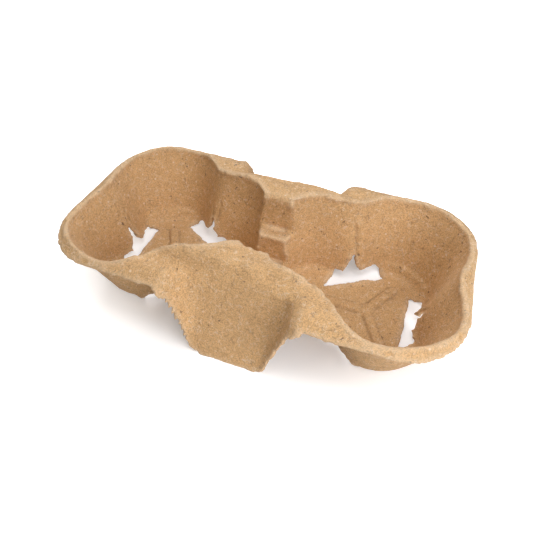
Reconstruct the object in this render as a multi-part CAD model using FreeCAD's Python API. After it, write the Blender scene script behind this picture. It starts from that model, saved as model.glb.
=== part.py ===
import FreeCAD, Part
import math
import os

# Moulded pulp carrier for two cups: one thin shell of pressed paper fibre.
# The X axis runs through both cup pockets, Y runs across them and Z is up.
# The origin is on the table, midway between the pockets. All sizes are in millimetres.

V = FreeCAD.Vector

# driving sizes
length = 208.4              # overall, over the flange at both ends
width = 112.4               # across the table, between the feet of the two flaps
rim_height = 44.3           # table to the rim round a pocket
hump_height = 50.0          # table to the crown of the two middle humps
wall = 2.0                  # thickness of the pulp

# plan of the two pockets
pocket_spacing = 116.0      # centre to centre
pocket_x = pocket_spacing / 2
lobe_foot = 36.0            # radius of an outer lobe at the floor
lobe_rim = 53.8             # radius of an outer lobe at the rim
web_foot = 48.2             # the lobe next to the web is steeper
web_rim = 54.4
finger_foot = 23.4          # radius at the three inward folds, at the floor
finger_rim = 38.4           # the same at the rim
finger_sharpness = 1.9      # higher makes the folds narrower
foot_round = 5.0            # height over which a wall curves into the floor

# rim flange
rim_width = 110.6           # across the flange at the long sides
flange_width = 5.3          # of the flange itself, at the long sides
end_flange_width = 7.8      # the same at the two ends
flange_drop = 5.0           # rim down to the torn lower edge
flange_corner = 25.0        # plan radius of the rim corners

# middle humps and the hanging flaps below them
hump_flat = 10.9            # half length of the level crown
crown_dip = 0.5             # sag of the crown at its middle
crown_dip_reach = 16.0      # half length of that sag
near_dent = 1.6             # the near crown is pressed down a little, as in the photo
near_dent_x = 7.0           # place of that dent
near_dent_reach = 24.0      # its half length
near_swell = 1.3            # and stands a little higher on its left
near_swell_x = -38.0
near_swell_reach = 20.0
far_lean = 1.8              # the far shoulder stands out more on its right
far_lean_x = 20.0
far_lean_reach = 34.0
hump_half_length = 60.0     # from the middle to where a hump dies out in the rim
hump_shoulder_y = 35.1      # outer shoulder of a hump
hump_slope = 1.8            # fall of its outer side per millimetre
flap_half_width = 18.7      # at its lower edge
flap_root = 30.4            # half width where a flap joins the flange
flap_root_drop = 3.0        # how far that corner is below the flange edge
flap_corner = 6.0           # length of the curve from that corner into the flange edge
flap_foot_round = 4.0       # how far the lower corners of a flap are rounded

# stepped gap through the web between the pockets
gap_half_top = 17.6         # half length of the upper step
ledge_height = 28.4         # height of the ledge
gap_half_low = 9.4          # half length of the lower step
saddle_height = 11.0        # lowest point of the web
gap_reach = 18.0            # the gap is cut this far either side, to end inside both pockets

# slots, wedges and ribs in a pocket
slot_distance = 20.8        # pocket centre to the straight edge of a slot
slot_half_length = 18.4
slot_depth = 16.0           # outwards, through the foot of the wall
tear_height = 5.7           # torn lower edge of the wall over the open end of a slot
end_tear_height = 3.2       # the same at the slot by the end of the carrier
pinch_height = 2.7          # the same at its pinched end
slot_tip = 1.0              # what is left of the slot's depth at that end
wedge_height = 18.6         # tip of the torn wedge above a slot
wedge_half = 5.5            # half width of that wedge where it starts
rib_length = 22.0
rib_width = 5.0
rib_rise = 1.3
step_height = 7.0           # small ledge at the foot of each lobe
step_depth = 1.8
rim_round = 1.4             # radius of the rim's inner edge
crest_round = 3.0           # radius of the crest over the gap in the web

reach = 70.0                # longer than any cut has to be
spare = 4.0                 # how far faces run past the edge that trims them


def smooth_step(a, b, x):
    """0 below a, 1 above b, with a smooth rise between."""
    s = min(1.0, max(0.0, (x - a) / (b - a)))
    return s * s * (3 - 2 * s)


def soft_max(a, b, k):
    """The larger of two heights, with a blend of size k where they cross."""
    h = max(k - abs(a - b), 0.0) / k
    return max(a, b) + h * h * k / 4


def soft_min(a, b, k):
    """The smaller of two heights, with a blend of size k where they cross."""
    return -soft_max(-a, -b, k)


def bump(x, place, half):
    """1 at a place, falling smoothly to 0 at half its length on either side."""
    return 1 - smooth_step(0.0, half, abs(x - place))


def rim_distance(x, y):
    """Distance outwards from the rim line, in plan."""
    dx = abs(x) - (length / 2 - end_flange_width - flange_corner)
    dy = abs(y) - (rim_width / 2 - flange_width - flange_corner)
    outside = math.hypot(max(dx, 0.0), max(dy, 0.0))
    return outside + min(max(dx, dy), 0.0) - flange_corner


def flange_slope(x, y):
    """Fall of the flange per millimetre: steep at the sides, gentler at the ends."""
    dx = max(abs(x) - (length / 2 - end_flange_width - flange_corner), 0.0)
    dy = max(abs(y) - (rim_width / 2 - flange_width - flange_corner), 0.0)
    to_end = dx / (dx + dy) if dx + dy > 0 else 0.0
    across = flange_width + (end_flange_width - flange_width) * to_end
    return flange_drop / across


def top_height(x, y):
    """Height of the upper face over the rim, the humps and the flaps, pockets left out."""
    ax, ay = abs(x), abs(y)
    out = rim_distance(x, y)
    slope = flange_slope(x, y)
    level = flange_drop + spare
    flange = min(rim_height - slope * out, rim_height - level - 4.0 * (out - level / slope))
    rim = soft_min(rim_height, flange, 3.0)
    rise = (hump_height - rim_height) * (1 - smooth_step(hump_flat, hump_half_length, ax))
    rise -= crown_dip * bump(x, 0.0, crown_dip_reach)
    worn = near_swell * bump(x, near_swell_x, near_swell_reach) - near_dent * bump(x, near_dent_x, near_dent_reach)
    rise += worn * (1 - smooth_step(-gap_half_low, 0.0, y))
    shoulder = hump_shoulder_y + far_lean * bump(x, far_lean_x, far_lean_reach) * smooth_step(0.0, gap_half_low, y)
    hump = rim_height + rise - hump_slope * max(ay - shoulder, 0.0)
    hump = soft_min(rim_height + rise, hump, 3.0)
    ridge = soft_max(rim, hump, 2.0) if rise > 0.5 else rim
    fall = hump_height / (width / 2 - shoulder)
    panel = soft_min(rim_height + rise, fall * (width / 2 - ay), 5.0)
    side = smooth_step(flap_half_width - 2.0, flap_root + 3.0, ax)
    height = panel + (ridge - panel) * side
    return max(height, -30.0)


def lower_height(x, y):
    """Height of the under face, one wall thickness inside the upper face."""
    step = 0.5
    slope_x = (top_height(x + step, y) - top_height(x - step, y)) / (2 * step)
    slope_y = (top_height(x, y + step) - top_height(x, y - step)) / (2 * step)
    return top_height(x, y) - wall * math.sqrt(1 + slope_x ** 2 + slope_y ** 2)


def solid_under(height, margin):
    """A block whose top face follows a height function."""
    half_x, half_y = length / 2 + margin, width / 2 + margin
    count_x, count_y = 91, 55
    poles = []
    for i in range(count_x):
        x = -half_x + 2 * half_x * i / (count_x - 1)
        row = []
        for j in range(count_y):
            y = -half_y + 2 * half_y * j / (count_y - 1)
            row.append(V(x, y, height(x, y)))
        poles.append(row)
    surface = Part.BSplineSurface()
    knots = [list(range(n - 2)) for n in (count_x, count_y)]
    mults = [[4] + [1] * (n - 4) + [4] for n in (count_x, count_y)]
    surface.buildFromPolesMultsKnots(poles, mults[0], mults[1], knots[0], knots[1],
                                     False, False, 3, 3)
    return surface.toShape().extrude(V(0, 0, -2 * reach))


def lobe_step(angle):
    """Share of the foot ledge at an angle: whole at the middle of an outer lobe, none at the folds."""
    away = abs(abs(((angle + 180.0) % 360.0) - 180.0) - 60.0)
    return 1 - smooth_step(16.0, 26.0, away)


def pocket_radius(angle, height):
    """Radius of the lobed inner face of the right pocket; angle in degrees from +X."""
    rise = height / rim_height
    finger = finger_foot + (finger_rim - finger_foot) * rise
    near_web = abs(((angle + 180.0) % 360.0) - 180.0) > 120.0
    foot, top = (web_foot, web_rim) if near_web else (lobe_foot, lobe_rim)
    lobe = foot + (top - foot) * rise
    fold = ((1 + math.cos(math.radians(3 * angle))) / 2) ** finger_sharpness
    return lobe + (finger - lobe) * fold


def ring_solid(rows):
    """A solid whose smooth side follows closed rings of points, from a flat bottom to a flat top."""
    around, up = len(rows[0]), len(rows)
    poles = [[row[k] for row in rows] for k in range(around)]
    side = Part.BSplineSurface()
    side.buildFromPolesMultsKnots(poles, [1] * (around + 1), [4] + [1] * (up - 4) + [4],
                                  list(range(around + 1)), list(range(up - 2)), True, False, 3, 3)
    side_face = side.toShape()
    caps = []
    for edge in side_face.Edges:
        if edge.isClosed() and edge.BoundBox.ZLength < 0.01:
            caps.append(Part.Face(Part.Wire([edge])))
    shell = Part.Shell([side_face] + caps)
    shell.sewShape()
    solid = Part.Solid(shell)
    solid.fix(0.001, 0.001, 0.001)
    return solid


def pocket_solid(grow, floor):
    """The lobed space of the right pocket, grown by some millimetres, from a floor height up."""
    step_top = step_height - wall
    rows = []
    for above, inset, step in ((0.0, foot_round, 1.0), (0.0, foot_round / 2, 1.0), (1.0, 0.5, 1.0),
                               (step_top - 1.0, 0.0, 1.0), (step_top - 0.3, 0.0, 1.0),
                               (step_top + 0.3, 0.0, 0.0), (step_top + 1.0, 0.0, 0.0),
                               (20.0, 0.0, 0.0), (36.0, 0.0, 0.0), (50.0, 0.0, 0.0), (64.0, 0.0, 0.0)):
        z = floor + above
        row = []
        for k in range(48):
            angle = 3.75 + 7.5 * k
            r = pocket_radius(angle, z) + grow - inset - step * step_depth * lobe_step(angle)
            a = math.radians(angle)
            row.append(V(pocket_x + r * math.cos(a), r * math.sin(a), z))
        rows.append(row)
    return ring_solid(rows)


def both_sides(shape):
    """The shape and its mirror image in the other pocket."""
    return [shape, shape.mirror(V(0, 0, 0), V(1, 0, 0))]


def gap_steps(grow):
    """The two steps of the gap through the web, grown by some millimetres."""
    steps = []
    for half, low in ((gap_half_top, ledge_height), (gap_half_low, saddle_height)):
        half_y = half + grow
        steps.append(Part.makeBox(2 * gap_reach, 2 * half_y, reach, V(-gap_reach, -half_y, low - grow)))
    return steps


def round_corner(before, corner, after, steps):
    """Points of a smooth curve that turns a corner, from the point before it to the point after it."""
    curve = Part.BezierCurve()
    curve.setPoles([before, corner, after])
    return curve.discretize(steps)


def lower_edge_cut():
    """Everything below the torn lower edge of the flange and the flaps."""
    edge = rim_height - flange_drop
    foot = V(flap_half_width, 0, 0)
    root = V(flap_root, 0, edge - flap_root_drop)
    along = (root - foot).normalize()
    low = round_corner(foot - V(flap_foot_round, 0, 0), foot, foot + along * flap_foot_round, 6)
    high = round_corner(root - along * flap_corner, root, V(flap_root + flap_corner, 0, edge), 6)
    half = low + high + [V(2 * reach, 0, edge)]
    profile = [V(-p.x, 0, p.z) for p in reversed(half)] + half
    profile += [V(2 * reach, 0, -3 * reach), V(-2 * reach, 0, -3 * reach)]
    face = Part.Face(Part.makePolygon(profile + [profile[0]]))
    return face.extrude(V(0, 4 * reach, 0)).translated(V(0, -2 * reach, 0))


def upright(outline, depth):
    """A prism from an outline in the YZ plane, reaching a depth along X."""
    points = [V(0, y, z) for y, z in outline]
    return Part.Face(Part.makePolygon(points + [points[0]])).extrude(V(depth, 0, 0))


def slot_cut(angle, open_side, tear):
    """One torn slot at the foot of a fold, with the wedge above it; open_side is 1 or -1.

    The slot is tall at its open end and closes to a point, in plan, at the other.
    """
    end = slot_half_length
    side = [(end, -1.0), (end, tear / 2), (end - 3.0, tear), (wedge_half, tear), (wedge_half - 2.0, tear + 3.0),
            (0.0, wedge_height), (2.5 - wedge_half, tear + 3.0), (-wedge_half, tear), (-end, pinch_height),
            (-end, -1.0)]
    tall = upright([(open_side * y, z) for y, z in side], slot_depth)
    plan = [(0.0, end), (slot_depth, end), (slot_depth, -wedge_half), (slot_tip, -end), (0.0, -end)]
    points = [V(x, open_side * y, -1.0) for x, y in plan]
    pointed = Part.Face(Part.makePolygon(points + [points[0]])).extrude(V(0, 0, wedge_height + 1.0))
    cut = tall.common(pointed).translated(V(slot_distance, 0, 0))
    cut.rotate(V(0, 0, 0), V(0, 0, 1), angle)
    return cut.translated(V(pocket_x, 0, 0))


def rib_bars(bar_width, height, low):
    """The three bars of the rib on a pocket floor, with round ends."""
    bars = []
    for angle in (60.0, 180.0, 300.0):
        bar = Part.makeBox(rib_length, bar_width, height, V(0, -bar_width / 2, low))
        end = Part.makeCylinder(bar_width / 2, height, V(rib_length, 0, low))
        for piece in (bar, end):
            piece.rotate(V(0, 0, 0), V(0, 0, 1), angle)
            bars.append(piece.translated(V(pocket_x, 0, 0)))
    return bars


def edges_on_two(shape, first, second):
    """Edges of a shape that lie on one of the first faces and on one of the second."""
    found = []
    for edge in shape.Edges:
        span = edge.LastParameter - edge.FirstParameter
        points = [edge.valueAt(edge.FirstParameter + share * span) for share in (0.1, 0.5, 0.9)]
        touches = []
        for faces in (first, second):
            touches.append(any(all(face.distToShape(Part.Vertex(p))[0] < 0.01 for p in points)
                               for face in faces))
        if all(touches):
            found.append(edge)
    return found


def carrier():
    """The whole shell."""
    outer = solid_under(top_height, 8.0)
    inner = solid_under(lower_height, 10.0)
    skin = outer.cut(inner).cut(lower_edge_cut())
    full = both_sides(pocket_solid(wall, 0.0)) + gap_steps(wall)
    legs = full[0].fuse(full[1:]).common(outer)
    pockets = both_sides(pocket_solid(0.0, wall))
    steps = gap_steps(0.0)
    shell = skin.fuse(legs).cut(pockets + steps)
    top = [face for face in outer.Faces if face.BoundBox.ZMax > rim_height]
    pocket_walls = [face for solid in pockets for face in solid.Faces]
    step_walls = [face for solid in steps for face in solid.Faces]
    shell = shell.makeFillet(crest_round, edges_on_two(shell, top, step_walls))
    rim_edges = edges_on_two(shell, top, pocket_walls)
    web_edges = edges_on_two(shell, pocket_walls, step_walls)
    shell = shell.makeFillet(rim_round, rim_edges + web_edges)
    ribs = []
    for bar in rib_bars(rib_width, wall + rib_rise, 0.0):
        ribs += both_sides(bar)
    shell = shell.fuse(ribs)
    cuts = []
    for angle, open_side, tear in ((0.0, 1, end_tear_height), (120.0, -1, tear_height), (240.0, 1, tear_height)):
        cuts += both_sides(slot_cut(angle, open_side, tear))
    return shell.cut(cuts)


if __name__ == "__main__":
    os.makedirs("parts", exist_ok=True)
    shape = carrier()
    shape.exportStep("parts/carrier.step")
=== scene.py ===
"""Moulded pulp carrier for two cups: its surface, its torn edges, its colour and a plain studio."""

import math

import bmesh
import bpy
import numpy as np
from bpy.props import FloatProperty, FloatVectorProperty, IntProperty, PointerProperty
from mathutils import Matrix, Vector, bvhtree, noise


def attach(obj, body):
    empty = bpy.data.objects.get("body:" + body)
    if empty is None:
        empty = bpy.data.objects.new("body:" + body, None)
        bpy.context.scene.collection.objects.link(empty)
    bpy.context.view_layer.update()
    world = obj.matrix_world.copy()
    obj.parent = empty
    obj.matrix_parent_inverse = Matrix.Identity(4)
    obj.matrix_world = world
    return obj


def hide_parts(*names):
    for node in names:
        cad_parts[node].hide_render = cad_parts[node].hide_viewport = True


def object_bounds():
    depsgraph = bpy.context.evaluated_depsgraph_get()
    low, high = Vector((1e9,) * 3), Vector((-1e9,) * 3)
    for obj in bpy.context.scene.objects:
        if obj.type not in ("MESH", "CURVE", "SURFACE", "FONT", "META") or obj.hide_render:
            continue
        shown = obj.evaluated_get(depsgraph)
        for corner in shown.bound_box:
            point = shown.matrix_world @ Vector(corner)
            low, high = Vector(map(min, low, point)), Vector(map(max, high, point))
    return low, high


bl_info = {
    "name": "Pulp cup carrier",
    "version": (1, 0, 0),
    "blender": (4, 5, 0),
    "location": "3D View > Sidebar > Carrier",
    "description": "Builds a moulded pulp carrier for two cups and a plain studio around it",
    "category": "Object",
}

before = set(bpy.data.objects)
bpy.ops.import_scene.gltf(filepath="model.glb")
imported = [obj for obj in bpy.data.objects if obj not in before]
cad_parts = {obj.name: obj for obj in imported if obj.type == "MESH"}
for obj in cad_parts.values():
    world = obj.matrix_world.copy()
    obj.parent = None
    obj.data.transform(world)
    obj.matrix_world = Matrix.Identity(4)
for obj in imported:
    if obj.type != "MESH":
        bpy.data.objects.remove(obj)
CAD_LOW, CAD_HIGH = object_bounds()
SEED = 11
MM = 0.001
NOISE_STEP = (3.7, 1.3, 7.1)  # how far apart the noises of two seeds lie
TINY = 1e-9                   # keeps a division by a length of 0 from failing

# Fine creases in the surface: the points of each line in millimetres, its depth and its half width.
# A negative depth makes a small raised fold; a positive depth also gets painted shade along its bottom.
CREASES = (
    (((-13.6, -28.8, 49.8), (-6.4, -26.4, 49.0), (-0.8, -21.5, 48.3), (7.9, -24.2, 48.2)), 0.45, 0.6),
    (((-10.0, -24.0, 49.5), (-1.4, -20.6, 48.3), (7.9, -22.0, 48.2), (14.5, -26.0, 48.4)), -0.35, 0.8),
    (((14.2, -25.3, 47.9), (17.0, -28.9, 48.7)), 0.5, 0.5),
    (((29.5, -28.6, 47.2), (34.6, -32.8, 46.2), (36.5, -34.3, 46.0)), 0.55, 0.55),
    (((39.7, -37.1, 44.7), (43.8, -41.7, 44.3)), 0.55, 0.5),
    (((-29.8, -51.7, 38.3), (-28.2, -47.8, 38.3), (-26.3, -44.4, 37.9), (-23.5, -41.9, 37.7)), -0.5, 0.8),
    (((18.4, -39.1, 40.7), (23.0, -40.6, 39.4), (26.1, -40.1, 41.8)), -0.7, 0.9),
    (((-8.6, 31.8, 49.8), (2.1, 29.4, 49.5)), 0.45, 0.6),
    (((17.6, 28.7, 49.7), (23.5, 30.1, 48.4)), 0.5, 0.6),
    (((31.8, 31.2, 45.2), (38.2, 34.1, 45.6)), 0.7, 0.6),
    (((41.3, 30.9, 33.6), (43.2, 28.7, 24.9), (45.1, 26.1, 15.4)), 0.7, 0.7),
    (((43.0, 31.5, 33.6), (45.0, 29.2, 24.9), (46.8, 27.0, 15.4)), -0.5, 0.9),
    (((86.0, 3.0, 10.0), (86.7, 5.2, 11.8), (89.2, 9.7, 14.3), (91.6, 13.0, 19.1)), 0.8, 0.6),
    (((-90.9, 4.1, 25.6), (-87.9, 3.8, 16.8), (-85.8, 3.7, 10.4)), 0.7, 0.7),
    (((-39.1, 27.8, 27.9), (-40.6, 24.2, 15.3)), 0.8, 0.7),
    (((-44.9, 28.4, 24.0), (-43.9, 25.9, 17.0)), 0.6, 0.6),
)
# Broad dents: the points of each line in millimetres, which way it is pressed, its depth and half width.
DENTS = (
    (((-46.0, -42.0, 43.0), (-25.6, -38.7, 43.3), (-1.5, -35.9, 46.4)), (0.0, 0.4, -0.9), 1.5, 4.0),
    (((13.2, -35.4, 47.1), (26.5, -35.4, 46.9), (40.0, -35.5, 45.5)), (0.0, 0.4, -0.9), 2.0, 3.6),
    (((24.5, -42.0, 39.0), (24.5, -48.0, 32.0), (24.0, -53.0, 24.0)), (0.25, 0.75, -0.4), 1.3, 3.2),
    (((29.8, -43.0, 42.5), (30.5, -49.0, 40.0), (30.5, -55.5, 37.5)), (0.0, -0.6, 0.5), 1.2, 1.5),
    (((-25.0, -42.0, 39.0), (-25.0, -48.0, 32.0)), (-0.25, 0.75, -0.4), 1.0, 3.2),
    (((-30.5, -43.0, 42.5), (-31.0, -50.0, 40.0)), (0.0, -0.6, 0.5), 0.9, 1.7),
    (((-4.0, -48.0, 26.0), (4.0, -50.0, 18.0)), (0.0, 0.9, -0.4), 1.2, 13.0),
    (((-38.0, -27.0, 46.0), (-24.0, -23.0, 47.5), (-13.0, -20.5, 48.8)), (0.0, 0.0, 1.0), 1.5, 7.5),
    (((-3.0, -19.5, 49.5), (12.0, -20.5, 49.0)), (0.0, -0.75, -0.9), 2.6, 6.5),
)
# The ribs on the pocket floors as the solid has them, in millimetres and degrees.
POCKET_X = 58.0
FLOOR_TOP = 2.0
RIB_TURNS = (60.0, 180.0, 300.0)
RIB_START = 4.5     # where the lines at the foot of an arm begin
RIB_REACH = 22.0    # and where they turn in round its end
RIB_HALF = 3.0      # half the width between them
RIB_END_HALF = 0.4  # share of that width at the very end
RIB_LINE_DEPTH = 0.80
RIB_LINE_HALF = 0.70

# How the moulded surface is smoothed: numbers of passes
EARLY_PULL = 10     # for finding the thin edges of the even faces
LATE_PULL = 14      # and again once they are split
SETTLE_PASSES = 2   # before the points are drawn back to the solid
AFTER_PASSES = 1    # and after it
MASK_PASSES = 3     # for the mask of the torn edges
WAY_PASSES = 6      # for the way in which they stand out
ROUND_PASSES = 8    # for rounding them off
LEVEL_PASSES = 6    # and then without shrinking them
PASS_SHARE = 0.5    # part of the way that a pass goes in
PASS_BACK = 0.52    # and back out
DRAWN_SHARE = 0.9   # how far a point goes back to the solid

# What counts as a torn edge: from a low to a high value, in shares of the grid
SPLIT_LENGTH = (0.62, 0.85)
THIN_REACH = (0.27, 0.52)
MASK_GAIN = 1.6
# The outer rim of the two ends was made by the mould: where it is, and what share of the tear it loses
END_RIM_X = (48 * MM, 60 * MM)
END_RIM_Z = (27 * MM, 33 * MM)
END_RIM_SMOOTH = 0.85

# Sizes of the noise on the surface, and how much of it is in the finer one
WANDER_SIZES = (24 * MM, 9 * MM)
WANDER_FINE = 0.4
FOOT_HEIGHT = 6 * MM    # below it the walls wander less
SHAKY_SIZE = 3 * MM
SHAKY_REACH = 0.5 * MM  # how far a crease strays from its line
LUMP_SIZES = (3.5 * MM, 1.7 * MM)
LUMP_FINE = 0.8
TEAR_SIZES = (4.6 * MM, 1.7 * MM)
TEAR_SHARES = (1.1, 0.5)

# Settings


class ShellSettings(bpy.types.PropertyGroup):
    """Sizes of the moulded surface."""

    grid: FloatProperty(
        name="Grid", description="Size of one face of the moulded surface",
        default=1.22 * MM, min=0.6 * MM, max=3 * MM, unit="LENGTH")
    rounding: IntProperty(
        name="Rounding", description="Passes that soften the edges left by the mould",
        default=3, min=0, max=30)
    tear: FloatProperty(
        name="Tear", description="Depth of the rough line along the torn edges",
        default=0.75 * MM, min=0.0, max=3 * MM, unit="LENGTH")
    fine_reach: FloatProperty(
        name="Fine reach",
        description="Distance in millimetres from a crease within which faces are split",
        default=1.1, min=0.0, max=5.0)
    fine_edge: FloatProperty(
        name="Fine edge",
        description="Share of the grid by which an edge stands out for its faces to be split",
        default=0.54, min=0.1, max=2.0)
    lip: FloatProperty(
        name="Lip", description="How far thin edges are drawn out again after the smoothing",
        default=0.90 * MM, min=0.0, max=2 * MM, unit="LENGTH")
    waviness: FloatProperty(
        name="Waviness", description="How far the walls wander from their true form",
        default=0.55 * MM, min=0.0, max=2 * MM, unit="LENGTH")
    lumps: FloatProperty(
        name="Lumps", description="Height of the small lumps of the felt",
        default=0.10 * MM, min=0.0, max=1 * MM, unit="LENGTH")
    creases: FloatProperty(
        name="Creases", description="Strength of the creases, pleats and dents",
        default=1.0, min=0.0, max=3.0)


class FibreSettings(bpy.types.PropertyGroup):
    """Loose fibres along the torn edges."""

    count: IntProperty(
        name="Count", description="Number of loose fibres", default=1100, min=0, max=4000)
    length: FloatProperty(
        name="Length", description="Length of the longest fibre",
        default=1.5 * MM, min=0.2 * MM, max=6 * MM, unit="LENGTH")
    radius: FloatProperty(
        name="Radius", description="Radius of a fibre",
        default=0.06 * MM, min=0.02 * MM, max=0.3 * MM, unit="LENGTH")


class PulpSettings(bpy.types.PropertyGroup):
    """Colours of the pulp."""

    base: FloatVectorProperty(
        name="Pulp", description="Main colour of the pulp",
        default=(0.60, 0.348, 0.142), min=0.0, max=1.0, subtype="COLOR")
    pale: FloatVectorProperty(
        name="Pale fibre", description="Colour of the pale fibres",
        default=(0.80, 0.62, 0.42), min=0.0, max=1.0, subtype="COLOR")
    speck: FloatVectorProperty(
        name="Speck", description="Colour of the dark specks",
        default=(0.13, 0.062, 0.022), min=0.0, max=1.0, subtype="COLOR")


class StudioSettings(bpy.types.PropertyGroup):
    """Floor, lamps and camera."""

    floor: FloatVectorProperty(
        name="Floor", description="Colour of the floor",
        default=(0.87, 0.85, 0.82), min=0.0, max=1.0, subtype="COLOR")
    glow: FloatProperty(
        name="Floor glow",
        description="White added to the floor near the carrier as the camera sees it",
        default=0.19, min=0.0, max=1.0)
    key: FloatProperty(
        name="Key lamp", description="Power of the lamp on the right",
        default=1.66, min=0.0, unit="POWER")
    fill: FloatProperty(
        name="Fill lamp", description="Power of the lamp on the left",
        default=0.42, min=0.0, unit="POWER")
    back: FloatProperty(
        name="Back lamp", description="Power of the lamp behind",
        default=1.45, min=0.0, unit="POWER")
    top: FloatProperty(
        name="Top lamp", description="Power of the lamp above",
        default=1.35, min=0.0, unit="POWER")


# Mesh helpers


def read_points(mesh):
    """The points of a mesh as an array."""
    points = np.empty(len(mesh.vertices) * 3)
    mesh.vertices.foreach_get("co", points)
    return points.reshape(-1, 3)


def write_points(mesh, points):
    """Puts an array of points back into a mesh."""
    mesh.vertices.foreach_set("co", np.ascontiguousarray(points, dtype=np.float32).ravel())
    mesh.update()


def read_normals(mesh):
    """The normals at the points of a mesh."""
    normals = np.empty(len(mesh.vertices) * 3)
    mesh.vertex_normals.foreach_get("vector", normals)
    return normals.reshape(-1, 3)


def neighbour_mean(mesh):
    """A function that gives, for values at the points, the mean over each point's neighbours."""
    pairs = np.empty(len(mesh.edges) * 2, dtype=np.int32)
    mesh.edges.foreach_get("vertices", pairs)
    first, second = pairs[0::2], pairs[1::2]
    total = len(mesh.vertices)
    degree = np.bincount(first, minlength=total) + np.bincount(second, minlength=total)

    def mean(values):
        columns = []
        for column in values.T:
            summed = np.bincount(first, weights=column[second], minlength=total)
            summed += np.bincount(second, weights=column[first], minlength=total)
            columns.append(summed / np.maximum(degree, 1))
        return np.stack(columns, axis=1)

    return mean


def edge_lengths(mesh, points):
    """The mean length of the edges at each point."""
    pairs = np.empty(len(mesh.edges) * 2, dtype=np.int32)
    mesh.edges.foreach_get("vertices", pairs)
    lengths = np.linalg.norm(points[pairs[0::2]] - points[pairs[1::2]], axis=1)
    summed = np.zeros(len(points))
    for ends in (pairs[0::2], pairs[1::2]):
        summed += np.bincount(ends, weights=lengths, minlength=len(points))
    return summed / np.maximum(np.bincount(pairs, minlength=len(points)), 1)


def relax(points, mean, passes, back=PASS_BACK):
    """Smooths points without shrinking them: each pass goes in and then back out."""
    for _ in range(passes):
        points = points + PASS_SHARE * (mean(points) - points)
        points = points - back * (mean(points) - points)
    return points


def edge_pull(points, mean, passes):
    """How far each point stands out of its smoothed place: long only along the thin torn edges."""
    smooth = points
    for _ in range(passes):
        smooth = mean(smooth)
    pull = points - smooth
    reach = np.linalg.norm(pull, axis=1)
    return pull / np.maximum(reach, TINY)[:, None], reach


def noise_at(points, size, seed):
    """Smooth noise from -1 to 1 at each point, with features of a size."""
    offset = Vector([seed * way for way in NOISE_STEP])
    return np.array([noise.noise(Vector(p) / size + offset) for p in points])


def noise_way(points, size, seed):
    """Smooth noise in each of the three directions."""
    return np.stack([noise_at(points, size, seed + k) for k in range(3)], axis=1)


def step(low, high, x):
    """0 below low, 1 above high, smooth between."""
    s = np.clip((x - low) / (high - low), 0.0, 1.0)
    return s * s * (3 - 2 * s)


# Moulded shell


def moulded_copy(grid):
    """The frame's solid as an even, closed surface of small faces."""
    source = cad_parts["carrier"]
    mesh = source.data.copy()
    work = bmesh.new()
    work.from_mesh(mesh)
    bmesh.ops.remove_doubles(work, verts=work.verts, dist=0.001 * MM)
    work.to_mesh(mesh)
    work.free()
    shell = bpy.data.objects.new("carrier_shell", mesh)
    bpy.context.scene.collection.objects.link(shell)
    remesh = shell.modifiers.new("even_faces", "REMESH")
    remesh.mode = "VOXEL"
    remesh.voxel_size = grid
    layer = bpy.context.evaluated_depsgraph_get()
    even = bpy.data.meshes.new_from_object(shell.evaluated_get(layer))
    shell.modifiers.clear()
    shell.data = even
    return shell


def refine_edges(mesh, fine):
    """Splits the faces at the chosen points, so that they can hold fine detail."""
    work = bmesh.new()
    work.from_mesh(mesh)
    work.verts.ensure_lookup_table()
    chosen = [e for e in work.edges if fine[e.verts[0].index] and fine[e.verts[1].index]]
    bmesh.ops.subdivide_edges(work, edges=chosen, cuts=1, use_grid_fill=True)
    bmesh.ops.triangulate(work, faces=[f for f in work.faces if len(f.verts) > 4])
    work.to_mesh(mesh)
    work.free()


def line_distance(points, line):
    """How far each point is from a line through several places."""
    nearest = np.full(len(points), np.inf)
    places = np.array(line) * MM
    for start, end in zip(places, places[1:]):
        way = end - start
        along = np.clip((points - start) @ way / (way @ way), 0.0, 1.0)
        gap = np.linalg.norm(points - start - along[:, None] * way, axis=1)
        nearest = np.minimum(nearest, gap)
    return nearest


def rib_lines():
    """The lines along the foot of each rib, where the floor is pressed in a little and darkened with
    painted shade.
    """
    lines = []
    for centre in (-POCKET_X, POCKET_X):
        for turn in RIB_TURNS:
            a = math.radians(turn if centre > 0 else 180.0 - turn)
            for side in (-RIB_HALF, RIB_HALF):
                line = []
                for along, out in ((RIB_START, side), (RIB_REACH, side),
                                   (RIB_REACH + RIB_HALF, side * RIB_END_HALF)):
                    line.append((centre + along * math.cos(a) - out * math.sin(a),
                                 along * math.sin(a) + out * math.cos(a), FLOOR_TOP))
                lines.append((line, RIB_LINE_DEPTH, RIB_LINE_HALF))
    return lines


def near_lines(points, lines, gap):
    """Which points lie near any of the fine lines."""
    near = np.zeros(len(points), dtype=bool)
    for line, _, _ in lines:
        near |= line_distance(points, line) < gap * MM
    return near


def drawn_to(points, mesh, share):
    """Moves points part of the way to the nearest place on a mesh."""
    places = [v.co[:] for v in mesh.vertices]
    tree = bvhtree.BVHTree.FromPolygons(places, [f.vertices[:] for f in mesh.polygons])
    nearest = np.array([tree.find_nearest(Vector(p))[0][:] for p in points])
    return points + share * (nearest - points)


def torn_place(points):
    """1 where an edge was torn, less along the outer rim of the two ends, which the mould made."""
    ends = step(*END_RIM_X, np.abs(points[:, 0])) * step(*END_RIM_Z, points[:, 2])
    return 1.0 - END_RIM_SMOOTH * ends


def press_dents(points, strength):
    """Moves both faces of the wall together where it was pressed in."""
    moved = points.copy()
    for line, way, depth, half in DENTS:
        share = np.exp(-(line_distance(points, line) / (half * MM)) ** 2)
        moved += share[:, None] * np.array(way) * depth * MM * strength
    return moved


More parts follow.
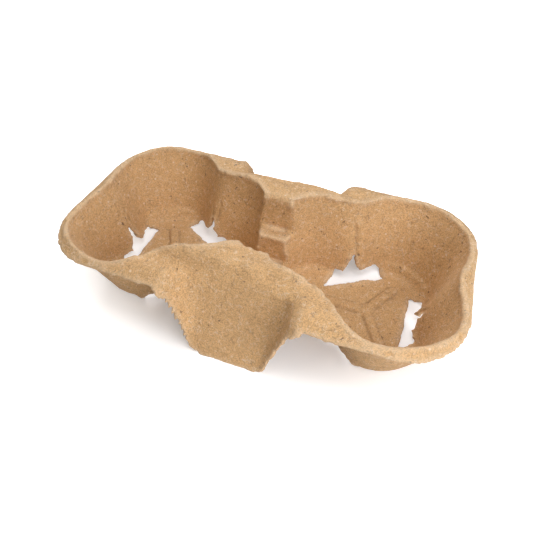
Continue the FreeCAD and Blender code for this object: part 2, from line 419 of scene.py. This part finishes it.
def crease_depth(points, strength):
    """Depth of the fine creases at each point, and how strongly painted shade darkens the bottom of a
    crease.
    """
    shaky = points + noise_way(points, SHAKY_SIZE, SEED + 20) * SHAKY_REACH
    depth = np.zeros(len(points))
    shade = np.zeros(len(points))
    for line, deep, half in (*CREASES, *rib_lines()):
        share = np.exp(-(line_distance(shaky, line) / (half * MM)) ** 2)
        depth += deep * MM * share * strength
        if deep > 0:
            shade = np.maximum(shade, share)
    return depth, shade


def moulded_surface(sizes):
    """The shell in even faces, split along torn edges and fine lines, and drawn back to the solid."""
    shell = moulded_copy(sizes.grid)
    mesh = shell.data
    mean = neighbour_mean(mesh)
    points = relax(read_points(mesh), mean, sizes.rounding)
    _, reach = edge_pull(points, mean, EARLY_PULL)
    thin = reach > sizes.fine_edge * sizes.grid
    creased = near_lines(points, (*CREASES, *rib_lines()), sizes.fine_reach)
    write_points(mesh, points)
    refine_edges(mesh, thin | creased)

    mean = neighbour_mean(mesh)
    points = relax(read_points(mesh), mean, SETTLE_PASSES)
    points = drawn_to(points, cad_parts["carrier"].data, DRAWN_SHARE)
    return shell, relax(points, mean, AFTER_PASSES), mean


def torn_edges(mesh, points, mean, grid):
    """How much each point is on a torn edge, from 0 to 1, and which way that edge stands out."""
    away, reach = edge_pull(points, mean, LATE_PULL)
    short, long = (share * grid for share in SPLIT_LENGTH)
    low, high = (share * grid for share in THIN_REACH)
    split = 1.0 - step(short, long, edge_lengths(mesh, points))
    torn = (split * step(low, high, reach))[:, None]
    for _ in range(MASK_PASSES):
        torn = 0.5 * (torn + mean(torn))
    for _ in range(WAY_PASSES):
        away = away + mean(away)
        away /= np.maximum(np.linalg.norm(away, axis=1), TINY)[:, None]
    return np.minimum(MASK_GAIN * torn[:, 0], 1.0), away


def rounded_lips(points, mean, torn, away, lip):
    """Rounds the torn edges off and draws them out again."""
    level = relax(relax(points, mean, ROUND_PASSES, back=0.0), mean, LEVEL_PASSES)
    return points + torn[:, None] * (level - points + away * lip)


def wandering(points, waviness):
    """Lets the walls wander, but not where the carrier stands on the table."""
    broad, fine = WANDER_SIZES
    way = noise_way(points, broad, SEED) + WANDER_FINE * noise_way(points, fine, SEED + 5)
    lift = step(0.0, FOOT_HEIGHT, points[:, 2])
    return points + waviness * way * lift[:, None]


class CARRIER_OT_shell(bpy.types.Operator):
    """Build the moulded shell, with soft edges, creases and torn lines"""

    bl_idname = "carrier.shell"
    bl_label = "Moulded shell"

    def execute(self, context):
        sizes = context.scene.carrier_shell_sizes
        shell, points, mean = moulded_surface(sizes)
        mesh = shell.data
        torn, away = torn_edges(mesh, points, mean, sizes.grid)
        points = rounded_lips(points, mean, torn, away, sizes.lip)
        points = press_dents(wandering(points, sizes.waviness), sizes.creases)
        write_points(mesh, points)

        normals = read_normals(mesh)
        depth, shade = crease_depth(points, sizes.creases)
        broad, fine = LUMP_SIZES
        lumps = noise_at(points, broad, SEED + 9) + LUMP_FINE * noise_at(points, fine, SEED + 10)
        points = points + normals * (sizes.lumps * lumps - depth)[:, None]
        rough = sum(share * noise_at(points, size, SEED + 12 + k)
                    for k, (share, size) in enumerate(zip(TEAR_SHARES, TEAR_SIZES)))
        points = points + away * (sizes.tear * torn * torn_place(points) * rough)[:, None]
        write_points(mesh, np.clip(points, np.array(CAD_LOW), np.array(CAD_HIGH)))

        # The crease attribute carries the painted shade at the bottom of the creases and rib lines.
        for name, values in (("torn", torn), ("crease", shade)):
            mask = mesh.attributes.new(name, "FLOAT", "POINT")
            mask.data.foreach_set("value", values.astype(np.float32))
        mesh.shade_smooth()
        mesh.materials.clear()
        mesh.materials.append(pulp_material(context.scene.carrier_pulp))
        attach(shell, "root")
        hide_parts("carrier")
        return {"FINISHED"}


# Loose fibres

# The form of one fibre, in steps and shares, and where the fibres sit
FIBRE_STEPS = 4
FIBRE_CORNERS = 3
FIBRE_TAPER = 0.7
FIBRE_BEND = 0.55
FIBRE_SPREAD = 0.7
FIBRE_SHORTEST = 0.25
FIBRE_RADII = (0.6, 0.6)    # the least share of the radius, and what chance adds to it
FIBRE_SEAT = 0.85           # how torn an edge is that holds fibres
FIBRE_ROOT = 0.3 * MM
FIBRE_MARGIN = 0.1 * MM     # how far inside the solid's limits they stay


def fibre_rings(start, way, length, radius, rng):
    """The rings of points along one curved fibre."""
    bend = Vector(rng.normal(0, FIBRE_BEND, 3))
    side = way.orthogonal().normalized()
    other = way.cross(side).normalized()
    rings = []
    for k in range(FIBRE_STEPS + 1):
        along = k / FIBRE_STEPS
        centre = start + way * (length * along) + bend * (length * along * along)
        thick = radius * (1 - FIBRE_TAPER * along)
        ring = []
        for corner in range(FIBRE_CORNERS):
            turn = 2 * math.pi * corner / FIBRE_CORNERS
            ring.append(centre + (side * math.cos(turn) + other * math.sin(turn)) * thick)
        rings.append(ring)
    return rings


def add_fibre(work, rings, low, high):
    """Adds one closed fibre, kept between two corners of a box."""
    made = [[work.verts.new(np.clip(np.array(p), low, high)) for p in ring] for ring in rings]
    for below, above in zip(made, made[1:]):
        for k in range(FIBRE_CORNERS):
            after = (k + 1) % FIBRE_CORNERS
            work.faces.new((below[k], below[after], above[after], above[k]))
    work.faces.new(reversed(made[0]))
    work.faces.new(made[-1])


class CARRIER_OT_fibres(bpy.types.Operator):
    """Set loose fibres along the torn edges of the shell"""

    bl_idname = "carrier.fibres"
    bl_label = "Loose fibres"

    def execute(self, context):
        sizes = context.scene.carrier_fibre_sizes
        shell = bpy.data.objects["carrier_shell"]
        points = read_points(shell.data)
        away, _ = edge_pull(points, neighbour_mean(shell.data), LATE_PULL)
        torn = np.empty(len(points))
        shell.data.attributes["torn"].data.foreach_get("value", torn)
        low, high = np.array(CAD_LOW) + FIBRE_MARGIN, np.array(CAD_HIGH) - FIBRE_MARGIN
        rng = np.random.default_rng(SEED)
        seats = np.flatnonzero(torn > FIBRE_SEAT)
        chosen = rng.choice(seats, size=min(sizes.count, len(seats)), replace=False)
        least, more = FIBRE_RADII
        work = bmesh.new()
        for index in chosen:
            way = (Vector(away[index]) + Vector(rng.normal(0, FIBRE_SPREAD, 3))).normalized()
            length = sizes.length * (FIBRE_SHORTEST + (1 - FIBRE_SHORTEST) * rng.random() ** 2)
            radius = sizes.radius * (least + more * rng.random())
            start = Vector(points[index]) - way * FIBRE_ROOT
            add_fibre(work, fibre_rings(start, way, length, radius, rng), low, high)
        mesh = bpy.data.meshes.new("loose_fibres")
        work.to_mesh(mesh)
        work.free()
        mesh.shade_smooth()
        mesh.materials.append(fibre_material(context.scene.carrier_pulp))
        fibres = bpy.data.objects.new("loose_fibres", mesh)
        context.scene.collection.objects.link(fibres)
        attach(fibres, "root")
        return {"FINISHED"}


# Materials

# The Mix node's sockets for colours, which share their names with its other sockets
MIX_FIRST = 6
MIX_SECOND = 7
MIX_RESULT = 2

# The felt's patterns. Noise: features per metre, detail, roughness.
GRAIN_NOISE = (1500.0, 2.5, 0.8)
MOTTLE_NOISE = (170.0, 3.0, 0.6)
LUMP_NOISE = (620.0, 2.0, 0.6)
BEND_SCALE = 230.0
BEND_REACH = 0.006
# Hairs: cells per metre, and between which values of a noise they show.
PALE_HAIRS = (430.0, 0.47, 0.60)
DARK_HAIRS = (300.0, 0.56, 0.66)
HAIR_WIDTH = 0.10
HAIR_BREAKS = 0.8        # features of that noise for each cell
HAIR_NOISE = (2.0, 0.6)  # its detail and roughness
# Dots: cells per metre, share of the cells that stay empty, and size as a share of a cell.
SPECKS = (340.0, 0.80, 0.11)
FLECKS = (330.0, 0.86, 0.12)
DOT_SOFT = 2.2     # where a dot has faded out, in sizes
DOT_CHOICE = 0.02  # width of the step between a cell with a dot and one without
# What each pattern adds to the height
GRAIN_HEIGHT = 0.6
LUMP_HEIGHT = 0.9
HAIR_HEIGHT = 0.25

# The pulp's colour and surface, as shares of its main colour and of each pattern
GRAIN_RANGE = (0.34, 0.66)
DARK_GRAIN = (0.62, 0.58, 0.46)
LIGHT_GRAIN = (1.34, 1.40, 1.55)
MOTTLE_RANGE = (0.35, 0.65)
MOTTLE_TINTS = (0.92, 1.08)
MOTTLE_SHARE = 0.30
PATTERN_TINTS = (("Pale fibre", 0.55, "pale"), ("Dark fibre", 0.38, "speck"),
                 ("Fleck", 0.75, "pale"), ("Speck", 0.80, "speck"))
ROUGH_RANGE = (0.3, 0.7, 0.82, 0.97)
SPECULAR = 1.0
BUMP_STRENGTH = 0.8
SHELL_BUMP = 0.6 * MM
FIBRE_BUMP = 0.05 * MM
TORN_TINT = 0.28
# Painted shade along the creases: how strongly it darkens, and how dark it gets as a share of the main
# colour.
CREASE_SHADE_STRENGTH = 0.4
CREASE_SHADE_DARK = 0.45
FIBRE_TINT = 0.35


def add_node(tree, kind, **values):
    """A node in a tree, with its plain settings."""
    node = tree.nodes.new(kind)
    for name, value in values.items():
        setattr(node, name, value)
    return node


def noise_node(tree, place, scale, detail, roughness):
    """A noise texture that reads a place."""
    node = add_node(tree, "ShaderNodeTexNoise")
    node.inputs["Scale"].default_value = scale
    node.inputs["Detail"].default_value = detail
    node.inputs["Roughness"].default_value = roughness
    tree.links.new(place, node.inputs["Vector"])
    return node.outputs["Fac"]


def ramp(tree, value, low, high, start=0.0, end=1.0):
    """Maps a value from one range to another, clamped."""
    node = add_node(tree, "ShaderNodeMapRange", interpolation_type="SMOOTHSTEP")
    for name, number in (("From Min", low), ("From Max", high), ("To Min", start), ("To Max", end)):
        node.inputs[name].default_value = number
    tree.links.new(value, node.inputs["Value"])
    return node.outputs["Result"]


def math_node(tree, operation, first, second):
    """The sum, product or other combination of two values."""
    node = add_node(tree, "ShaderNodeMath", operation=operation)
    for socket, value in zip(node.inputs, (first, second)):
        if isinstance(value, (int, float)):
            socket.default_value = value
        else:
            tree.links.new(value, socket)
    return node.outputs["Value"]


def blend_colour(tree, share, first, second):
    """A mix of two colours; each is a socket or a plain colour."""
    node = add_node(tree, "ShaderNodeMix", data_type="RGBA")
    for key, value in (("Factor", share), (MIX_FIRST, first), (MIX_SECOND, second)):
        socket = node.inputs[key]
        if hasattr(value, "is_linked"):
            tree.links.new(value, socket)
        elif isinstance(value, float):
            socket.default_value = value
        else:
            socket.default_value = (*value, 1.0)
    return node.outputs[MIX_RESULT]


def hair_lines(tree, place, bent, scale, low, high):
    """Thin broken lines, like single fibres in the felt."""
    cells = add_node(tree, "ShaderNodeTexVoronoi", feature="DISTANCE_TO_EDGE")
    cells.inputs["Scale"].default_value = scale
    tree.links.new(bent, cells.inputs["Vector"])
    thin = ramp(tree, cells.outputs["Distance"], 0.0, HAIR_WIDTH, 1.0, 0.0)
    some = ramp(tree, noise_node(tree, place, scale * HAIR_BREAKS, *HAIR_NOISE), low, high)
    return math_node(tree, "MULTIPLY", thin, some)


def dots(tree, place, scale, rare, size):
    """Scattered dots: one in some of the cells."""
    cells = add_node(tree, "ShaderNodeTexVoronoi", feature="F1")
    cells.inputs["Scale"].default_value = scale
    tree.links.new(place, cells.inputs["Vector"])
    dot = ramp(tree, cells.outputs["Distance"], size, size * DOT_SOFT, 1.0, 0.0)
    split = add_node(tree, "ShaderNodeSeparateColor")
    tree.links.new(cells.outputs["Color"], split.inputs["Color"])
    chosen = ramp(tree, split.outputs["Red"], rare, rare + DOT_CHOICE)
    return math_node(tree, "MULTIPLY", dot, chosen)


def felt_group():
    """Node group: the felted look of pulp, as masks and a height."""
    if "felted_pulp" in bpy.data.node_groups:
        return bpy.data.node_groups["felted_pulp"]
    group = bpy.data.node_groups.new("felted_pulp", "ShaderNodeTree")
    face = group.interface
    face.new_socket("Place", in_out="INPUT", socket_type="NodeSocketVector")
    for name in ("Grain", "Mottle", "Pale fibre", "Dark fibre", "Speck", "Fleck", "Height"):
        face.new_socket(name, in_out="OUTPUT", socket_type="NodeSocketFloat")
    source = group.nodes.new("NodeGroupInput")
    sink = group.nodes.new("NodeGroupOutput")
    place = source.outputs["Place"]
    links = group.links

    grain = noise_node(group, place, *GRAIN_NOISE)
    mottle = noise_node(group, place, *MOTTLE_NOISE)
    lumps = noise_node(group, place, *LUMP_NOISE)

    bend = add_node(group, "ShaderNodeTexNoise")
    bend.inputs["Scale"].default_value = BEND_SCALE
    links.new(place, bend.inputs["Vector"])
    shift = add_node(group, "ShaderNodeVectorMath", operation="SCALE")
    links.new(bend.outputs["Color"], shift.inputs[0])
    shift.inputs["Scale"].default_value = BEND_REACH
    moved = add_node(group, "ShaderNodeVectorMath", operation="ADD")
    links.new(place, moved.inputs[0])
    links.new(shift.outputs["Vector"], moved.inputs[1])
    pale = hair_lines(group, place, moved.outputs["Vector"], *PALE_HAIRS)
    dark = hair_lines(group, moved.outputs["Vector"], place, *DARK_HAIRS)
    speck = dots(group, moved.outputs["Vector"], *SPECKS)
    fleck = dots(group, place, *FLECKS)

    height = math_node(group, "MULTIPLY", grain, GRAIN_HEIGHT)
    for pattern, share in ((lumps, LUMP_HEIGHT), (pale, HAIR_HEIGHT), (dark, -HAIR_HEIGHT)):
        height = math_node(group, "ADD", height, math_node(group, "MULTIPLY", pattern, share))
    for name, value in (("Grain", grain), ("Mottle", mottle), ("Pale fibre", pale), ("Dark fibre", dark),
                        ("Speck", speck), ("Fleck", fleck), ("Height", height)):
        links.new(value, sink.inputs[name])
    return group


def tinted(colour, shares):
    """A colour with each of its parts taken by a share."""
    return [min(1.0, part * share) for part, share in zip(colour, shares)]


def pulp_base(name, colours, bump_distance):
    """Starts a pulp material, and gives it back with its tree, its shader and the felt's colour."""
    material = bpy.data.materials.new(name)
    material.use_nodes = True
    tree = material.node_tree
    shader = tree.nodes["Principled BSDF"]
    shader.inputs["Specular IOR Level"].default_value = SPECULAR
    where = add_node(tree, "ShaderNodeTexCoord")
    felt = add_node(tree, "ShaderNodeGroup", node_tree=felt_group())
    tree.links.new(where.outputs["Object"], felt.inputs["Place"])
    grain = ramp(tree, felt.outputs["Grain"], *GRAIN_RANGE)
    darker, paler = (tinted(colours.base, shares) for shares in (DARK_GRAIN, LIGHT_GRAIN))
    colour = blend_colour(tree, grain, darker, paler)
    mottle = ramp(tree, felt.outputs["Mottle"], *MOTTLE_RANGE)
    darker, paler = (tinted(colours.base, [share] * 3) for share in MOTTLE_TINTS)
    colour = blend_colour(tree, MOTTLE_SHARE, colour, blend_colour(tree, mottle, darker, paler))
    for name, strength, tint in PATTERN_TINTS:
        share = math_node(tree, "MULTIPLY", felt.outputs[name], strength)
        colour = blend_colour(tree, share, colour, getattr(colours, tint))
    rough = ramp(tree, felt.outputs["Grain"], *ROUGH_RANGE)
    tree.links.new(rough, shader.inputs["Roughness"])
    bump = add_node(tree, "ShaderNodeBump")
    bump.inputs["Distance"].default_value = bump_distance
    bump.inputs["Strength"].default_value = BUMP_STRENGTH
    tree.links.new(felt.outputs["Height"], bump.inputs["Height"])
    tree.links.new(bump.outputs["Normal"], shader.inputs["Normal"])
    return material, tree, shader, colour


def pulp_material(colours):
    """Rough tan pulp, a little paler where it is torn, with painted shade darkening it along the creases.
    """
    material, tree, shader, colour = pulp_base("pulp", colours, SHELL_BUMP)
    torn = add_node(tree, "ShaderNodeAttribute", attribute_name="torn")
    edge = math_node(tree, "MULTIPLY", torn.outputs["Fac"], TORN_TINT)
    colour = blend_colour(tree, edge, colour, colours.pale)
    # Painted shade: the colour is darkened towards a dark copy of the pulp along the creases.
    crease = add_node(tree, "ShaderNodeAttribute", attribute_name="crease")
    line = math_node(tree, "MULTIPLY", crease.outputs["Fac"], CREASE_SHADE_STRENGTH)
    colour = blend_colour(tree, line, colour, tinted(colours.base, [CREASE_SHADE_DARK] * 3))
    tree.links.new(colour, shader.inputs["Base Color"])
    return material


def fibre_material(colours):
    """The same pulp for the loose fibres, paler."""
    material, tree, shader, colour = pulp_base("loose_fibre", colours, FIBRE_BUMP)
    colour = blend_colour(tree, FIBRE_TINT, colour, colours.pale)
    tree.links.new(colour, shader.inputs["Base Color"])
    return material


# Studio


CAMERA_AZIMUTH = 19.75
CAMERA_ELEVATION = 45.82
CAMERA_ROLL = 1.18
CAMERA_DISTANCE = 257.2 * MM
CAMERA_TARGET = Vector((2.1, -4.9, 20.0)) * MM
FOCAL_PIXELS = 477.4  # focal length in pixels of the photograph
PHOTO_PIXELS = 533    # its width
SENSOR_WIDTH = 36.0   # in millimetres, as Blender measures it
LAMP_SIZE = 0.35
LAMP_DISTANCE = 0.55
KEY_DISTANCE = 0.45
LAMP_HEIGHT_ANGLE = 35.0
LAMP_AIM = (0.0, 0.0, 0.02)
KEY_TURN = 54  # in degrees from the near side towards the right
FILL_TURN = -60
BACK_TURN = 210
TOP_PLACE = (0.05, 0.0, LAMP_DISTANCE)
# The floor's glow grows to full white between these distances from the middle of the carrier
GLOW_NEAR = 0.042
GLOW_FAR = 0.100
GLOW_SQUEEZE = (0.62, 1.0, 0.0)  # the carrier is longer than it is wide
FLOOR_HALF = 6.0
FLOOR_GAP = 0.05 * MM
FLOOR_ROUGH = 0.9
COOL = (0.98, 1.0, 1.06)
WARM = (1.0, 0.90, 0.74)


def floor_material(colour, glow):
    """Plain floor that keeps the shadow near the carrier; further away the camera sees pure white."""
    material = bpy.data.materials.new("floor")
    material.use_nodes = True
    tree = material.node_tree
    shader = tree.nodes["Principled BSDF"]
    shader.inputs["Base Color"].default_value = (*colour, 1.0)
    shader.inputs["Roughness"].default_value = FLOOR_ROUGH
    shader.inputs["Specular IOR Level"].default_value = 0.0
    shader.inputs["Emission Color"].default_value = (1.0, 1.0, 1.0, 1.0)
    where = add_node(tree, "ShaderNodeTexCoord")
    squeeze = add_node(tree, "ShaderNodeVectorMath", operation="MULTIPLY")
    tree.links.new(where.outputs["Object"], squeeze.inputs[0])
    squeeze.inputs[1].default_value = GLOW_SQUEEZE
    reach = add_node(tree, "ShaderNodeVectorMath", operation="LENGTH")
    tree.links.new(squeeze.outputs["Vector"], reach.inputs[0])
    far = ramp(tree, reach.outputs["Value"], GLOW_NEAR, GLOW_FAR, glow, 1.0)
    path = add_node(tree, "ShaderNodeLightPath")
    seen = math_node(tree, "MULTIPLY", path.outputs["Is Camera Ray"], far)
    tree.links.new(seen, shader.inputs["Emission Strength"])
    return material


def white_backdrop():
    """A world that is white to the camera and gives no light."""
    world = bpy.data.worlds.new("backdrop")
    world.use_nodes = True
    tree = world.node_tree
    sky = tree.nodes["Background"]
    sky.inputs["Color"].default_value = (1.0, 1.0, 1.0, 1.0)
    path = add_node(tree, "ShaderNodeLightPath")
    tree.links.new(path.outputs["Is Camera Ray"], sky.inputs["Strength"])
    bpy.context.scene.world = world


def soft_lamp(name, power, place, tint):
    """A square lamp that points at the carrier."""
    data = bpy.data.lights.new(name, "AREA")
    data.color = tint
    data.energy = power
    data.size = LAMP_SIZE
    lamp = bpy.data.objects.new(name, data)
    lamp.location = place
    lamp.rotation_euler = (Vector(place) - Vector(LAMP_AIM)).to_track_quat("Z", "Y").to_euler()
    bpy.context.scene.collection.objects.link(lamp)


def lamp_place(turn, away):
    """Where a lamp stands, turned some degrees from the near side towards the right."""
    a, e = math.radians(turn), math.radians(LAMP_HEIGHT_ANGLE)
    way = Vector((math.sin(a) * math.cos(e), -math.cos(a) * math.cos(e), math.sin(e)))
    return way * away


def photo_camera():
    """The camera at the photograph's viewing angle."""
    data = bpy.data.cameras.new("camera")
    data.sensor_width = SENSOR_WIDTH
    data.lens = SENSOR_WIDTH * FOCAL_PIXELS / PHOTO_PIXELS
    camera = bpy.data.objects.new("camera", data)
    a, e, r = (math.radians(v) for v in (CAMERA_AZIMUTH, CAMERA_ELEVATION, CAMERA_ROLL))
    back = Vector((math.sin(a) * math.cos(e), -math.cos(a) * math.cos(e), math.sin(e)))
    right = Vector((math.cos(a), math.sin(a), 0.0))
    up = back.cross(right)
    turned_right = right * math.cos(r) + up * math.sin(r)
    turned_up = up * math.cos(r) - right * math.sin(r)
    turn = Matrix((turned_right, turned_up, back)).transposed().to_4x4()
    camera.matrix_world = Matrix.Translation(CAMERA_TARGET + back * CAMERA_DISTANCE) @ turn
    bpy.context.scene.collection.objects.link(camera)
    bpy.context.scene.camera = camera


class CARRIER_OT_studio(bpy.types.Operator):
    """Set the floor, the lamps, the backdrop and the camera"""

    bl_idname = "carrier.studio"
    bl_label = "Studio"

    def execute(self, context):
        looks = context.scene.carrier_studio
        mesh = bpy.data.meshes.new("floor")
        corners = [(-FLOOR_HALF, -FLOOR_HALF, 0), (FLOOR_HALF, -FLOOR_HALF, 0),
                   (FLOOR_HALF, FLOOR_HALF, 0), (-FLOOR_HALF, FLOOR_HALF, 0)]
        mesh.from_pydata(corners, [], [(0, 1, 2, 3)])
        mesh.materials.append(floor_material(looks.floor, looks.glow))
        floor = bpy.data.objects.new("floor", mesh)
        floor.location.z = CAD_LOW.z - FLOOR_GAP
        context.scene.collection.objects.link(floor)
        for name, power, turn, away, tint in (("key_lamp", looks.key, KEY_TURN, KEY_DISTANCE, COOL),
                                              ("fill_lamp", looks.fill, FILL_TURN, LAMP_DISTANCE, WARM),
                                              ("back_lamp", looks.back, BACK_TURN, LAMP_DISTANCE, COOL)):
            soft_lamp(name, power, lamp_place(turn, away), tint)
        soft_lamp("top_lamp", looks.top, TOP_PLACE, COOL)
        white_backdrop()
        photo_camera()
        context.scene.view_settings.view_transform = "Standard"
        return {"FINISHED"}


class CARRIER_PT_panel(bpy.types.Panel):
    """Carrier tools in the sidebar"""

    bl_label = "Pulp cup carrier"
    bl_idname = "CARRIER_PT_panel"
    bl_space_type = "VIEW_3D"
    bl_region_type = "UI"
    bl_category = "Carrier"

    def draw(self, context):
        column = self.layout.column()
        for group in SETTINGS:
            settings = getattr(context.scene, group)
            for name in settings.__annotations__:
                column.prop(settings, name)
        for operator in OPERATORS:
            column.operator(operator.bl_idname)


SETTINGS = {
    "carrier_shell_sizes": ShellSettings,
    "carrier_fibre_sizes": FibreSettings,
    "carrier_pulp": PulpSettings,
    "carrier_studio": StudioSettings,
}
OPERATORS = (CARRIER_OT_shell, CARRIER_OT_fibres, CARRIER_OT_studio)


def register():
    for group in SETTINGS.values():
        bpy.utils.register_class(group)
    for operator in OPERATORS:
        bpy.utils.register_class(operator)
    bpy.utils.register_class(CARRIER_PT_panel)
    for name, group in SETTINGS.items():
        setattr(bpy.types.Scene, name, PointerProperty(type=group))


def unregister():
    for name in SETTINGS:
        delattr(bpy.types.Scene, name)
    bpy.utils.unregister_class(CARRIER_PT_panel)
    for operator in reversed(OPERATORS):
        bpy.utils.unregister_class(operator)
    for group in reversed(SETTINGS.values()):
        bpy.utils.unregister_class(group)


def main():
    """Builds the carrier and its studio."""
    register()
    bpy.ops.carrier.shell()
    bpy.ops.carrier.fibres()
    bpy.ops.carrier.studio()


if __name__ == "__main__":
    main()
